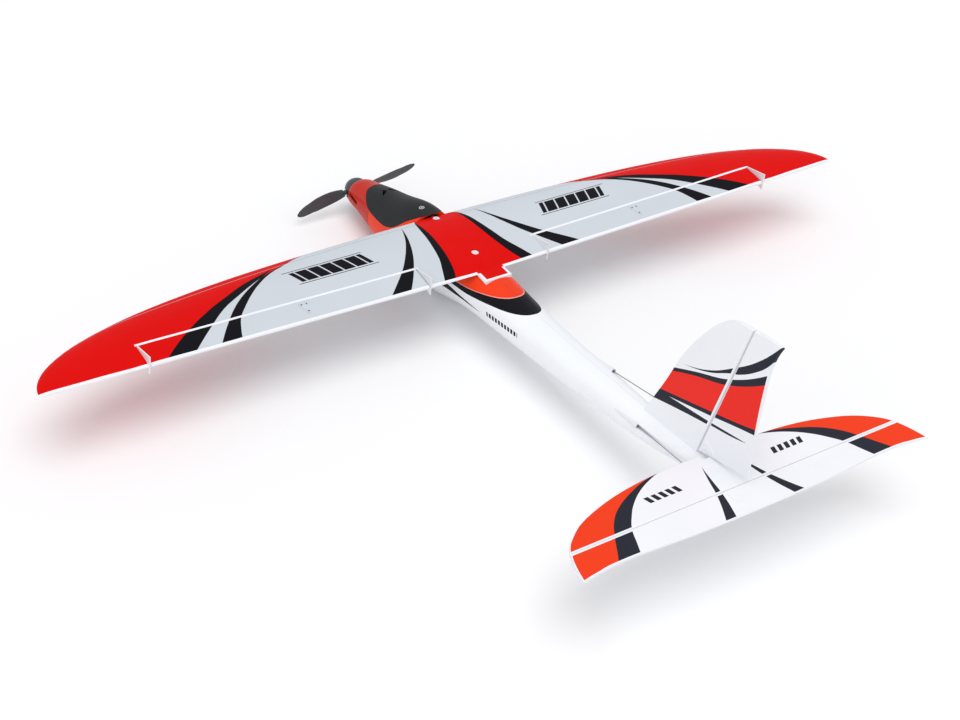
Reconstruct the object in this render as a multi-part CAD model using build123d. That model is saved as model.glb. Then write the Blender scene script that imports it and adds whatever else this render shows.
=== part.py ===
"""Electric RC glider: foam airframe, folding propeller, four servo-driven surfaces.

Frame: +X to the port wing tip, nose towards -Y, +Z up, millimetres.
The origin is below the middle of the bounding box, on the plane that the belly rests on.
"""
from build123d import *
from math import atan2, cos, pi, radians, sin, sqrt
import os

# ---------------------------------------------------------------- driving dimensions
SPAN = 1100.0
NOSE_Y = -380.8
TAIL_Y = 392.5
LENGTH = TAIL_Y - NOSE_Y
# stations are drawn from the wing and boom layout, then moved so that Y = 0 is at mid-length
MID_LENGTH_SHIFT = -(NOSE_Y + TAIL_Y) / 2
SEMI = SPAN / 2

# wing
ROOT_CHORD = 124.0
CHORD_TAPER = 26.0
WING_TE_Y = -79.5
TE_SWEEP = 8.3
WING_Z = 83.0
DIHEDRAL = 0.00966
THICKNESS = 0.095
CAMBER = 0.025
TE_THICK = 2.0
TAB_HALF = 18.0
TAB_LENGTH = 16.0
SPAR_R = 2.5
SPAR_Y = -170.5
WING_SCREW_YS = (-193.0, -113.0)

# ailerons: the hinge runs from its inboard to its outboard end, just below the top skin
AIL_IN_X = 81.5
AIL_OUT_X = 430.0
AIL_IN_Y = -113.0
AIL_OUT_Y = -118.4
AIL_END_GAP = 2.4
FENCE_THICK = 1.4
FENCE_HEIGHT = 10.0
AIL_HORN_X = 233.0
AIL_ARM = 12.0
AIL_ROD_LENGTH = 40.0

# tail
STAB_TOP = 95.0
STAB_THICK = 6.0
ELEV_HINGE_Y = 356.0
ELEV_HINGE_DROP = 0.4
TAIL_TE_THICK = 1.5
FIN_THICK = 6.0
RUDDER_LOW = (288.6, 89.0)
RUDDER_HIGH = (323.8, 263.6)
RUDDER_FOOT = ((289.2, 92.0), (360.5, 106.0))
ELEV_HORN_X = 21.0
ELEV_ARM = 13.0
RUDDER_ARM = 12.0
RUDDER_HORN_Z = 105.5
ELEV_SERVO_Y = -60.0
RUDDER_SERVO_Y = -110.0

# hinges of the foam surfaces: half gap at the hinge, and the bevel that gives room below it
HINGE_GAP = 0.35
BEVEL = 30.0

# pod and boom: y, underside, top, half width
SECTIONS = [
    (-359.0, 15.0, 47.0, 16.0),
    (-349.5, 14.8, 53.0, 18.7),
    (-334.5, 14.6, 57.0, 21.0),
    (-319.5, 12.8, 61.4, 23.0),
    (-289.5, 7.2, 70.0, 26.8),
    (-254.5, 3.0, 81.0, 29.5),
    (-215.0, 1.4, 90.5, 31.0),
    (-180.0, 3.0, 90.0, 31.2),
    (-144.5, 10.0, 88.0, 31.0),
    (-110.0, 20.5, 85.5, 30.6),
    (-74.5, 27.0, 83.0, 29.8),
    (-44.5, 29.0, 81.5, 28.4),
    (-14.5, 30.3, 80.0, 26.8),
    (15.5, 32.0, 79.2, 25.2),
    (75.5, 36.6, 79.8, 23.0),
    (135.5, 43.0, 81.6, 21.0),
    (195.5, 48.0, 83.2, 18.4),
    (240.0, 55.0, 85.0, 16.0),
    (290.0, 65.5, 87.8, 13.0),
    (330.0, 76.0, 89.4, 10.0),
    (352.0, 82.5, 89.6, 7.0),
]
OVAL_POWER = 2.3
WALL = 4.0
COWL_WALL = 2.2
COWL_END_Y = -296.0
SKIN_GAP = 0.4

# propeller group
AXIS_Z = 31.0
PROP_RADIUS = 87.0
BLADE_PLANE_Y = -367.0
BLADE_PIVOT_R = 11.5
BLADE_ROOT_R = 17.0
BLADE_ROUND_R = 77.0
BLADE_CONE = 3.2
PROP_ROLL = 8.3
SPINNER_R = 15.6
SPINNER_BACK_Y = -360.0
SHAFT_R = 1.585
RUNNING = 0.05
BELL_R = 12.0
BELL_FRONT_Y = -352.0
BELL_BACK_Y = -333.0
MOTOR_BASE_Y = -329.0
BULKHEAD_THICK = 3.0

# small hardware
ROD_R = 0.6
ROD_HOLE_R = 0.66
OPEN_HOLE_R = 1.0
ARM_THICK = 1.6
PLATE_THICK = 1.2
SLEEVE_R = 3.1
SLEEVE_BORE_R = 2.5

nodes = {}


def keep(name, *solids):
    """File one node made of one or more separate solids."""
    nodes[name] = solids[0] if len(solids) == 1 else Compound(children=list(solids))


def mirrored(shape):
    """The starboard twin of a port piece."""
    return mirror(shape, about=Plane.YZ)


def box_between(low, high):
    """A box from its lowest to its highest corner."""
    size = [b - a for a, b in zip(low, high)]
    return Pos(*low) * Box(*size, align=(Align.MIN,) * 3)


def rod(start, end, radius):
    """A round bar between two points."""
    line = Vector(*end) - Vector(*start)
    plane = Plane(origin=start, z_dir=line)
    return plane * Cylinder(radius, line.length, align=(Align.CENTER, Align.CENTER, Align.MIN))


def side_plate(outline, half_thick):
    """A plate from a closed outline in the YZ plane, centred on X = 0."""
    face = Pos(-half_thick, 0, 0) * make_face(outline)
    return extrude(face, 2 * half_thick, dir=(1, 0, 0))


def yz(*points):
    """Points of a side view as 3-D points on X = 0."""
    return [(0, y, z) for y, z in points]


# ---------------------------------------------------------------- wing
def wing_chord(x):
    """Chord at a distance from the centre line; it closes in a rounded tip."""
    t = min(abs(x) / SEMI, 1.0)
    return max((ROOT_CHORD - CHORD_TAPER * t) * sqrt(1 - t ** 4), 5.0)


def wing_te_y(x):
    return WING_TE_Y - TE_SWEEP * abs(x) / SEMI


def wing_heights(x, y):
    """Lower and upper surface heights of the wing at one point."""
    chord = wing_chord(x)
    s = min(max(1 - (wing_te_y(x) - y) / chord, 0.0), 1.0)
    shape = 2.969 * sqrt(s) - 1.26 * s - 3.516 * s ** 2 + 2.843 * s ** 3 - 1.036 * s ** 4
    half = 0.5 * THICKNESS * chord * shape + 0.5 * TE_THICK * s * min(chord / 30, 1)
    camber = CAMBER * chord * (1 - ((s - 0.4) / (0.4 if s < 0.4 else 0.6)) ** 2)
    middle = WING_Z + DIHEDRAL * abs(x) + camber
    return middle - half, middle + half


def wing_section(x):
    """One closed aerofoil face across the wing."""
    chord = wing_chord(x)
    steps = 12
    ys = [wing_te_y(x) - chord * 0.5 * (1 + cos(pi * i / steps)) for i in range(steps + 1)]
    low = [(x, y, wing_heights(x, y)[0]) for y in ys]
    high = [(x, y, wing_heights(x, y)[1]) for y in ys]
    nose = [p for p in reversed(high[1:])] + [high[0]] + low[1:]
    return make_face(Wire([Edge.make_spline(nose), Edge.make_line(nose[-1], nose[0])]))


WING_STATIONS = [0, 70, 150, 230, 310, 380, 430, 470, 500, 522, 537, 546, 550]


def wing_half():
    return loft([wing_section(x) for x in WING_STATIONS])


def aileron_hinge():
    """The hinge's ends, its direction, and a frame at its inboard end: X outboard, Z up."""
    inner = Vector(AIL_IN_X, AIL_IN_Y, wing_heights(AIL_IN_X, AIL_IN_Y)[1] - 0.6)
    outer = Vector(AIL_OUT_X, AIL_OUT_Y, wing_heights(AIL_OUT_X, AIL_OUT_Y)[1] - 0.6)
    along = (outer - inner).normalized()
    frame = Plane(origin=inner, x_dir=along, z_dir=Vector(0, 0, 1) - along * along.Z)
    return inner, outer, frame


def bevelled_block(length, start, back=60.0, top=12.0, bottom=-20.0, gap=HINGE_GAP):
    """Room behind a hinge: its front face leans back below the axis."""
    lean = sin(radians(BEVEL)) / cos(radians(BEVEL))
    outline = Polyline((start, gap, 0), (start, gap, top), (start, back, top), (start, back, bottom),
                       (start, gap - bottom * lean, bottom), close=True)
    return extrude(make_face(outline), length, dir=(1, 0, 0))


def build_wing():
    half = wing_half()
    inner, outer, frame = aileron_hinge()
    length = (outer - inner).length
    slot = frame * box_between((0, -HINGE_GAP, -25), (length, 70, 20))
    aileron = half & (frame * bevelled_block(length - 2 * AIL_END_GAP, AIL_END_GAP))
    half = half - slot
    spar_end = 350.0
    spar_z = WING_Z + 2.6
    spar_line = ((1, SPAR_Y, spar_z), (spar_end, SPAR_Y, spar_z + DIHEDRAL * spar_end))
    half = half - rod(*spar_line, SPAR_R)
    half = half - aileron_servo_room()
    wing = half + mirrored(half) + build_tab()
    for y in WING_SCREW_YS:
        top = wing_heights(0, y)[1]
        wing = wing - Pos(0, y, 60) * Cylinder(2.1, 60)
        wing = wing - Pos(0, y, top - 3.2) * Cylinder(4.6, 20, align=(Align.CENTER, Align.CENTER, Align.MIN))
    keep("wing", wing.solid() if len(wing.solids()) == 1 else wing)
    spar = rod(*spar_line, SPAR_R) - rod(*spar_line, SPAR_R - 0.8)
    keep("wing_spar_tubes", spar, mirrored(spar))
    keep("aileron_port", aileron)
    keep("aileron_starboard", mirrored(aileron))
    build_fences(frame, length)
    return wing


def build_tab():
    """The tongue behind the trailing edge; its underside follows the top of the fuselage."""
    low, high = wing_heights(0, WING_TE_Y)
    front = WING_TE_Y - 6
    back = WING_TE_Y + TAB_LENGTH
    outline = Polyline(*yz((front, low - 0.5), (front, high + 0.4), (back, high - 0.6), (back, low - 3.0)),
                       close=True)
    return side_plate(outline, TAB_HALF) - fuselage_solid()


def wing_saddle():
    """The room that the wing's root takes from the fuselage."""
    return extrude(Pos(-60, 0, 0) * wing_section(0), 120, dir=(1, 0, 0))


def build_fences(frame, length):
    """Thin wedge plates that stand in the gaps at both ends of each aileron."""
    chord_in = WING_TE_Y - AIL_IN_Y
    fences = []
    for start in (0.0, length - FENCE_THICK):
        back = chord_in - 1.0
        outline = Polyline((start, -HINGE_GAP, 1.2), (start, back, FENCE_HEIGHT - 3),
                           (start, back, -FENCE_HEIGHT - 5), (start, -HINGE_GAP, -4), close=True)
        fences.append(frame * extrude(make_face(outline), FENCE_THICK, dir=(1, 0, 0)))
    keep("aileron_gap_fences", *fences, *[mirrored(f) for f in fences])


# ---------------------------------------------------------------- servos and linkages
# Each linkage has a frame of its own at the hinge: X along the hinge, Y aft, Z away from the horn.
# The servo shaft is parallel to the hinge and the arm is as long as the horn, so the wire
# only shifts and never turns.
SERVO_LENGTH = 23.0
SERVO_WIDTH = 9.0
SERVO_HEIGHT = 20.0
SERVO_BOSS = 3.6
SHAFT_INSET = 5.5
EAR_SPAN = 31.5
EAR_LOW = 9.1
EAR_THICK = 2.0
ROD_LANE = 2.6
PEGS = ((-2.6, 8.0), (3.8, 8.0), (0.6, 19.0))


def servo_body(margin=0.0):
    """A sub-micro servo with its shaft along X through the origin; the case lies at -X."""
    half = SERVO_WIDTH / 2 + margin
    front = -SHAFT_INSET
    case = box_between((-SERVO_BOSS - SERVO_HEIGHT - margin, front - margin, -half),
                       (-SERVO_BOSS + margin, front + SERVO_LENGTH + margin, half))
    ear_front = front - (EAR_SPAN - SERVO_LENGTH) / 2
    ears = box_between((-EAR_LOW - margin, ear_front - margin, -half),
                       (-EAR_LOW + EAR_THICK + margin, ear_front + EAR_SPAN + margin, half))
    if margin:
        return case + ears
    body = case + ears + rod((-SERVO_BOSS - 1, 0, 0), (-0.4, 0, 0), 4.2) + rod((-1, 0, 0), (2.2, 0, 0), 1.5)
    for y in (ear_front + 2.0, ear_front + EAR_SPAN - 2.0):
        body = body - rod((-EAR_LOW - 1, y, 0), (-EAR_LOW + 4, y, 0), 0.9)
    return body


def servo_arm(length):
    """A servo arm from x = 0 to ARM_THICK that points down, with three rod holes."""
    outline = Polyline((0, -2.9, -1), (0, 2.9, -1), (0, 1.8, -length), (0, -1.8, -length), close=True)
    arm = rod((0, 0, 0), (2.6, 0, 0), 3.2) + rod((0, 0, -length), (ARM_THICK, 0, -length), 1.9)
    arm = arm + extrude(make_face(outline), ARM_THICK, dir=(1, 0, 0))
    for z in (-length, -length + 2.6, -length + 5.2):
        arm = arm - rod((-1, 0, z), (4, 0, z), ROD_HOLE_R)
    return arm - rod((-1, 0, 0), (2.25, 0, 0), 1.5 + RUNNING)


def peg_set(low, high):
    """The three pegs that join a horn to its back plate through the foam."""
    return [rod((x, y, low), (x, y, high), 0.9) for x, y in PEGS]


def horn(length, foam):
    """A control horn whose base lies against the foam; its rod hole is straight below the hinge."""
    base = box_between((-4.5, 5.6, -9.0), (5.7, 21.0, -1.0))
    outline = Polyline((0, 6.0, -3.0), (0, 19.0, -3.0), (0, 2.6, -length - 1.6), (0, -1.6, -length - 1.8),
                       (0, -2.4, -length + 1.2), (0, 1.6, -length + 2.4), close=True)
    plate = extrude(make_face(outline), PLATE_THICK, dir=(1, 0, 0))
    under = foam.moved(Location((0, 0, -1.3)))
    base = (base & under) - foam
    base = max(base.solids(), key=lambda s: s.volume)
    plate = plate - rod((-1, 0, -length), (3, 0, -length), OPEN_HOLE_R) - foam
    shape = base + max(plate.solids(), key=lambda s: s.volume)
    for peg in peg_set(-8.0, 3.0):
        shape = shape + (peg & foam)
    return shape


def back_plate(foam):
    """The small plate on the other face of the foam, with the heads of the three pegs."""
    outline = Polyline((-5.2, 5.2, -3), (6.4, 5.2, -3), (2.2, 21.6, -3), (-1.0, 21.6, -3), close=True)
    block = extrude(make_face(outline), 8, dir=(0, 0, 1))
    over = foam.moved(Location((0, 0, 0.7)))
    heads = [rod((x, y, -3), (x, y, 6), 1.4) & foam.moved(Location((0, 0, 1.3))) for x, y in PEGS]
    plate = block & over
    for head in heads:
        plate = plate + head
    plate = plate - foam
    return max(plate.solids(), key=lambda s: s.volume)


def wire_ends(arm_hole, horn_hole, side):
    """The two corners of a pushrod, beside the arm's and the horn's holes."""
    shift = Vector(ROD_LANE * side, 0, 0)
    return Vector(*arm_hole) + shift, Vector(*horn_hole) + shift


def pushrod(arm_hole, horn_hole, side):
    """A wire whose bent ends turn in the arm's and the horn's holes."""
    corners = wire_ends(arm_hole, horn_hole, side)
    wire = rod(tuple(corners[0]), tuple(corners[1]), ROD_R)
    for corner, hole in zip(corners, (arm_hole, horn_hole)):
        wire = wire + Pos(*corner) * Sphere(ROD_R)
        wire = wire + rod(tuple(corner), (hole[0] - 1.5 * side, hole[1], hole[2]), ROD_R)
    return wire


def clevis(arm_hole, horn_hole, side):
    """The plastic adjuster barrel on the wire just ahead of the horn."""
    a, b = wire_ends(arm_hole, horn_hole, side)
    back = (a - b).normalized()
    barrel = rod(tuple(b + back * 5), tuple(b + back * 17), 1.7)
    barrel = barrel + rod(tuple(b + back * 17), tuple(b + back * 19.5), 1.3)
    return barrel - rod(tuple(b), tuple(b + back * 25), ROD_R)


class Linkage:
    """One servo, arm, wire and horn for one surface."""

    def __init__(self, surface, frame, shaft, arm, side):
        self.surface = surface
        self.frame = frame
        self.shaft = shaft
        self.arm = arm
        self.side = side
        self.arm_hole = (shaft[0] + ARM_THICK / 2, shaft[1], shaft[2] - arm)
        self.horn_hole = (PLATE_THICK / 2, 0.0, -arm)

    def build(self, suffix=""):
        """Make the pieces and let the pegs into the surface."""
        seat = Pos(*self.shaft)
        name = self.surface
        holes = (self.arm_hole, self.horn_hole, self.side)
        foam = self.frame.to_local_coords(nodes[name + suffix])
        pieces = {
            f"{name}_servo": seat * servo_body(),
            f"{name}_servo_arm": seat * servo_arm(self.arm),
            f"{name}_pushrod": pushrod(*holes),
            f"{name}_clevis": clevis(*holes),
            f"{name}_horn": horn(self.arm, foam),
            f"{name}_back_plate": back_plate(foam),
        }
        pegged = foam
        for peg in peg_set(-8.0, 3.0):
            pegged = pegged - peg
        nodes[name + suffix] = self.frame * pegged
        for piece, shape in pieces.items():
            keep(piece + suffix, self.frame * shape)

    def channel(self, radius, start_y, end_y):
        """The wire's straight path from one Y to another, as a round bar."""
        a, b = [self.frame.from_local_coords(v) for v in wire_ends(self.arm_hole, self.horn_hole, self.side)]
        step = (b - a) * (1 / (b.Y - a.Y))
        return rod(tuple(a + step * (start_y - a.Y)), tuple(a + step * (end_y - a.Y)), radius)

    def rails(self, room):
        """Two cross rails under the servo's ears, cut to the room inside the fuselage."""
        low = -EAR_LOW + EAR_THICK
        front = -SHAFT_INSET - 0.3
        back = front + SERVO_LENGTH + 0.6
        rails = []
        for y0, y1 in ((front - 7, front), (back, back + 7)):
            bar = box_between((low, y0, -45), (low + 3.0, y1, 45))
            rails.append((self.frame * (Pos(*self.shaft) * bar)) & room)
        return rails


def aileron_linkage():
    frame = aileron_hinge()[2]
    seat = Plane(origin=frame.from_local_coords((AIL_HORN_X - AIL_IN_X, 0, 0)), x_dir=frame.x_dir,
                 z_dir=frame.z_dir)
    return Linkage("aileron", seat, (0.0, -AIL_ROD_LENGTH, -2.8), AIL_ARM, 1)


def elevator_linkage():
    seat = Plane(origin=(ELEV_HORN_X, ELEV_HINGE_Y, STAB_TOP - ELEV_HINGE_DROP), x_dir=(1, 0, 0),
                 z_dir=(0, 0, 1))
    shaft = (-8.0, ELEV_SERVO_Y - ELEV_HINGE_Y, 67.0 - seat.origin.Z)
    return Linkage("elevator", seat, shaft, ELEV_ARM, -1)


def rudder_axis():
    """The raked rudder hinge: a point at a height, and the direction of the axis."""
    (y0, z0), (y1, z1) = RUDDER_LOW, RUDDER_HIGH
    axis = Vector(0, y1 - y0, z1 - z0).normalized()

    def at_height(z):
        return (0, y0 + (z - z0) * axis.Y / axis.Z, z)

    return axis, at_height


def rudder_frame(z):
    """Frame on the rudder hinge: X down the hinge, Y aft, Z to port."""
    axis, at_height = rudder_axis()
    return Plane(origin=at_height(z), x_dir=axis * -1, z_dir=(1, 0, 0))


def rudder_linkage():
    seat = rudder_frame(RUDDER_HORN_Z)
    shaft = seat.to_local_coords(Vector(-2.0, RUDDER_SERVO_Y, 35.0))
    return Linkage("rudder", seat, tuple(shaft), RUDDER_ARM, -1)


def aileron_servo_room():
    """The pocket in the wing's underside that takes the servo and its arm."""
    link = aileron_linkage()
    swing = box_between((-1.5, -5.5, -40), (5.0, 5.5, 3.4)) + rod((-SERVO_BOSS - 1, 0, 0), (3.2, 0, 0), 4.6)
    below = box_between((-SERVO_BOSS - SERVO_HEIGHT - 0.3, -SHAFT_INSET - 0.3, -40),
                        (-SERVO_BOSS + 0.3, SERVO_LENGTH - SHAFT_INSET + 0.3, 0))
    room = servo_body(0.3) + swing + below
    return link.frame * (Pos(*link.shaft) * room)


# ---------------------------------------------------------------- tail
def build_fin_and_rudder():
    axis, at_height = rudder_axis()
    leading = Spline(*yz((203, 80), (213, 104), (228, 142), (244, 186), (262, 219), (278, 242),
                         (294, 256), (309, 261.5), RUDDER_HIGH, (344, 267.2), (363, 267.6)))
    trailing = Spline(*yz((363, 267.6), (357.5, 252), (355.2, 237), (354.8, 216), (356.5, 165), RUDDER_FOOT[1]))
    bottom = Polyline(*yz(RUDDER_FOOT[1], RUDDER_FOOT[0], (286.6, 79), (203, 80)))
    whole = side_plate([leading, trailing, bottom], FIN_THICK / 2)
    frame = rudder_frame(RUDDER_LOW[1])
    fin = whole - (frame * box_between((-220, -HINGE_GAP, -20), (40, 120, 20)))
    lean = sin(radians(BEVEL)) / cos(radians(BEVEL))
    wedge = Polyline((30, HINGE_GAP, 0), (30, HINGE_GAP + 20 * lean, 20), (30, 120, 20), (30, 120, -20),
                     (30, HINGE_GAP + 20 * lean, -20), close=True)
    rudder = whole & (frame * extrude(make_face(wedge), 260, dir=(-1, 0, 0)))
    taper_back = 62.0
    for side in (1, -1):
        cut = Polyline((40, 4, side * FIN_THICK / 2), (40, taper_back, side * TAIL_TE_THICK / 2),
                       (40, taper_back + 60, side * TAIL_TE_THICK / 2), (40, taper_back + 60, side * 20),
                       (40, 4, side * 20), close=True)
        rudder = rudder - (frame * extrude(make_face(cut), 280, dir=(-1, 0, 0)))
    keep("fin", fin)
    keep("rudder", rudder)


def build_tailplane():
    right = [(0, 299.5), (60, 301), (100, 304.2), (135, 310), (160, 316.8), (185, 326.5), (203, 338),
             (215, 349.5), (221.5, 362), (226.5, 376), (230.5, TAIL_Y)]
    back = [(230.5, TAIL_Y), (207, 388.8), (184, 386.8), (158, 387), (105, 390.3), (50, 392.2), (0, TAIL_Y)]

    def side(sign):
        lead = Spline(*[(sign * x, y, STAB_TOP) for x, y in right])
        rear = Spline(*[(sign * x, y, STAB_TOP) for x, y in back])
        return [lead, rear]

    whole = extrude(make_face(side(1) + side(-1)), STAB_THICK, dir=(0, 0, -1))
    hinge_z = STAB_TOP - ELEV_HINGE_DROP
    behind = box_between((-300, ELEV_HINGE_Y - HINGE_GAP, 60), (300, 430, 120))
    block = Pos(0, ELEV_HINGE_Y, hinge_z) * bevelled_block(600, -300)
    elevator = whole & block
    low = STAB_TOP - STAB_THICK
    cut = Polyline((-300, ELEV_HINGE_Y + 5, low), (-300, TAIL_Y, STAB_TOP - TAIL_TE_THICK),
                   (-300, TAIL_Y + 9, STAB_TOP - TAIL_TE_THICK), (-300, TAIL_Y + 9, low - 9),
                   (-300, ELEV_HINGE_Y + 5, low - 9), close=True)
    elevator = elevator - extrude(make_face(cut), 600, dir=(1, 0, 0))
    stab = whole - behind - box_between((-12, 290, 60), (12, 308, 120))
    nose = stab.edges().filter_by(lambda e: e.center().Y < ELEV_HINGE_Y - 2 and e.length > 60
                                  and abs(e.tangent_at(0.5).Z) < 0.1)
    keep("horizontal_stabilizer", fillet(nose, 2.4) if nose else stab)
    keep("elevator", elevator)


# ---------------------------------------------------------------- fuselage
def fuselage_face(y, low, high, half, inset):
    """One closed oval across the fuselage, drawn in from the skin by the inset."""
    centre = (low + high) / 2
    a = half - inset
    b = (high - low) / 2 - inset
    points = []
    count = 16
    for i in range(count):
        angle = 2 * pi * (i + 0.5) / count
        c, s = cos(angle), sin(angle)
        points.append((a * abs(c) ** (2 / OVAL_POWER) * (1 if c > 0 else -1), y,
                       centre + b * abs(s) ** (2 / OVAL_POWER) * (1 if s > 0 else -1)))
    return make_face(Wire([Edge.make_spline(points, periodic=True)]))


def fuselage_solid(inset=0.0, first=0, last=len(SECTIONS)):
    return loft([fuselage_face(*row, inset) for row in SECTIONS[first:last]])


def hatch_room(gap):
    """Everything above the hatch's parting line, which is a curve in side view."""
    line = [(-328.5, 68), (-325.6, 60), (-315, 54), (-303, 47.8), (-281, 45.2), (-251, 49.6),
            (-232, 62), (-218, 76), (-204, 87), (-196, 93)]
    curve = Spline(*[(-50, y, z + gap) for y, z in line])
    rest = Polyline((-50, -196, 93 + gap), (-50, -196, 130), (-50, -328.5, 130), (-50, -328.5, 68 + gap))
    return extrude(make_face([curve, rest]), 100, dir=(1, 0, 0))


def build_fuselage():
    outer = fuselage_solid()
    inner = fuselage_solid(WALL, 4, 19)
    hatch_inner = fuselage_solid(3.0, 2, 8)
    cowl_inner = fuselage_solid(COWL_WALL, 0, 5)
    elevator, rudder = elevator_linkage(), rudder_linkage()
    ahead = box_between((-60, -420, -20), (60, COWL_END_Y, 130))
    wing_top = box_between((-60, -203.7, WING_Z), (60, WING_TE_Y - 0.5, 130))
    saddle = wing_saddle()

    cowl = (outer & ahead) - cowl_inner - hatch_room(0)
    scoop = Plane.YZ * Pos(-340.5, 35.5) * extrude(SlotOverall(23, 4.8), 40, both=True)
    cowl = cowl - scoop
    keep("nose_cowl", max(cowl.solids(), key=lambda s: s.volume))

    hatch = (outer - hatch_inner) & hatch_room(SKIN_GAP)
    hatch = hatch - saddle - saddle.moved(Location((0, -0.4, 0.4)))
    for side in (1, -1):
        vent = Polyline((side * 3.5, -303, 50), (side * 1.2, -295.5, 50), (side * 13.0, -287.5, 50), close=True)
        hatch = hatch - extrude(make_face(vent), 60, dir=(0, 0, 1))
    hatch = max(hatch.solids(), key=lambda s: s.volume)
    lug = box_between((-6, -222, 77.5), (6, -212, 95)) & fuselage_solid(2.5, 3, 8)
    keep("canopy_hatch", hatch + lug)
    keep("hatch_magnet", Pos(0, -217, 75.5) * Cylinder(3, 2, align=(Align.CENTER, Align.CENTER, Align.MIN)))
    keep("fuselage_magnet", Pos(0, -217, 73.1) * Cylinder(3, 2, align=(Align.CENTER, Align.CENTER, Align.MIN)))

    cuts = [ahead, inner, hatch_room(0), wing_top, saddle, nodes["fin"], nodes["horizontal_stabilizer"],
            elevator.channel(2.2, 150, 246), rudder.channel(2.8, 90, 172),
            elevator.channel(SLEEVE_R, -30, 214), rudder.channel(SLEEVE_R, -80, 134)]
    for name, low_x in (("fuselage_port_shell", 0), ("fuselage_starboard_shell", -60)):
        shell = outer & box_between((low_x, -400, -20), (low_x + 60, 400, 130))
        for cut in cuts:
            shell = shell - cut
        keep(name, max(shell.solids(), key=lambda s: s.volume))

    sleeves = [elevator.channel(SLEEVE_R, -30, 214) - elevator.channel(SLEEVE_BORE_R, -40, 220),
               rudder.channel(SLEEVE_R, -80, 134) - rudder.channel(SLEEVE_BORE_R, -90, 140)]
    keep("pushrod_sleeves", *sleeves)
    skid = box_between((-7, -262, 0), (7, -172, 6)) & fuselage_solid().moved(Location((0, 0, -3.0)))
    skid = skid - outer
    keep("belly_skid", max(skid.solids(), key=lambda s: s.volume))
    return inner, cowl_inner


def build_equipment(inner, wing):
    elevator, rudder = elevator_linkage(), rudder_linkage()
    tray = box_between((-40, -285, 18), (40, -142, 20)) & inner
    strap_slots = [box_between((side - 1.0, -251, 10), (side + 1.0, -234, 30)) for side in (-17.9, 17.9)]
    for slot in strap_slots:
        tray = tray - slot
    keep("equipment_tray", tray)
    battery = fillet(box_between((-17, -275, 20), (17, -203, 42)).edges(), 2.0)
    keep("battery", battery)
    outside = box_between((-18.4, -250, 16.8), (18.4, -235, 43.2))
    keep("battery_strap", outside - box_between((-17.2, -252, 17.8), (17.2, -233, 42.1)))
    keep("speed_controller", fillet(box_between((-11, -257, 9.2), (11, -217, 16.4)).edges(), 1.2))
    keep("receiver", fillet(box_between((-11, -193, 20), (11, -161, 30)).edges(), 1.0))
    former = box_between((-60, -219, 48), (60, -215, 71.1)) & inner
    saddle = box_between((-5, -221, 66), (5, -213, 73.1))
    keep("hatch_former", former + saddle)
    rails = []
    for link in (elevator, rudder):
        rails += link.rails(inner)
    rails = [r - rudder.channel(3.4, -160, 60) for r in rails]
    keep("servo_rails", *[s for r in rails for s in r.solids()])
    blocks = []
    screws = []
    for y in WING_SCREW_YS:
        block = (box_between((-14, y - 6, 66), (14, y + 6, 90)) & inner) - Pos(0, y, 75) * Cylinder(1.9, 40)
        block = block - box_between((-60, y - 9, WING_Z - 3), (60, y + 9, 120)) - wing
        blocks.append(block - nodes["fuselage_port_shell"] - nodes["fuselage_starboard_shell"])
        head_z = wing_heights(0, y)[1] - 3.2
        head = Pos(0, y, head_z) * Cylinder(4.2, 2.4, align=(Align.CENTER, Align.CENTER, Align.MIN))
        head = head - box_between((-0.5, y - 3.2, head_z + 1.4), (0.5, y + 3.2, head_z + 3))
        shank = rod((0, y, 64), (0, y, head_z), 1.9)
        screws.append(head + shank)
    keep("wing_screw_blocks", *blocks)
    keep("wing_screws", *screws)


# ---------------------------------------------------------------- motor and propeller
def ring(y0, y1, outer_r, inner_r=0.0):
    """A disc or tube on the motor's axis between two Y stations."""
    body = rod((0, y0, AXIS_Z), (0, y1, AXIS_Z), outer_r)
    return body - rod((0, y0 - 1, AXIS_Z), (0, y1 + 1, AXIS_Z), inner_r) if inner_r else body


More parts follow.
